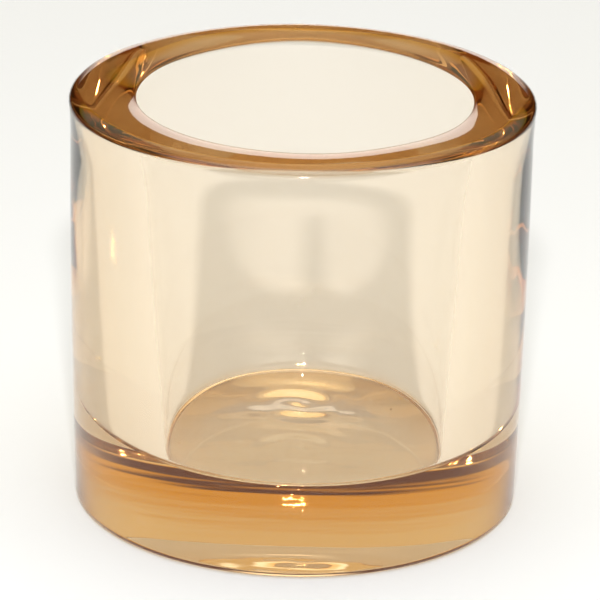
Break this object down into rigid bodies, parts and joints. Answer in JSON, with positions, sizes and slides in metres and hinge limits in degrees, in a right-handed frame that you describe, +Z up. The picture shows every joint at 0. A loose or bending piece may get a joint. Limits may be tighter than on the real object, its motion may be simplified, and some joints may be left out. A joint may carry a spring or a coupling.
{
  "type": "tealight holder",
  "caption": "Round tumbler of thick amber glass with a rounded rim, a slightly tapered wall and a deep drafted well for a tealight.",
  "frame": {"origin": "centre of the flat underside, on the surface the holder stands on", "axes": "+Z up along the holder's own round axis, towards the mouth; X and Y are any two level directions"},
  "size_m": [0.065, 0.065, 0.06],
  "materials": {
    "amber_glass": "fire-polished pressed glass, tinted pale amber through its whole thickness"
  },
  "bodies": {
    "root": {"glass_body": "amber_glass"}
  },
  "joints": []
}
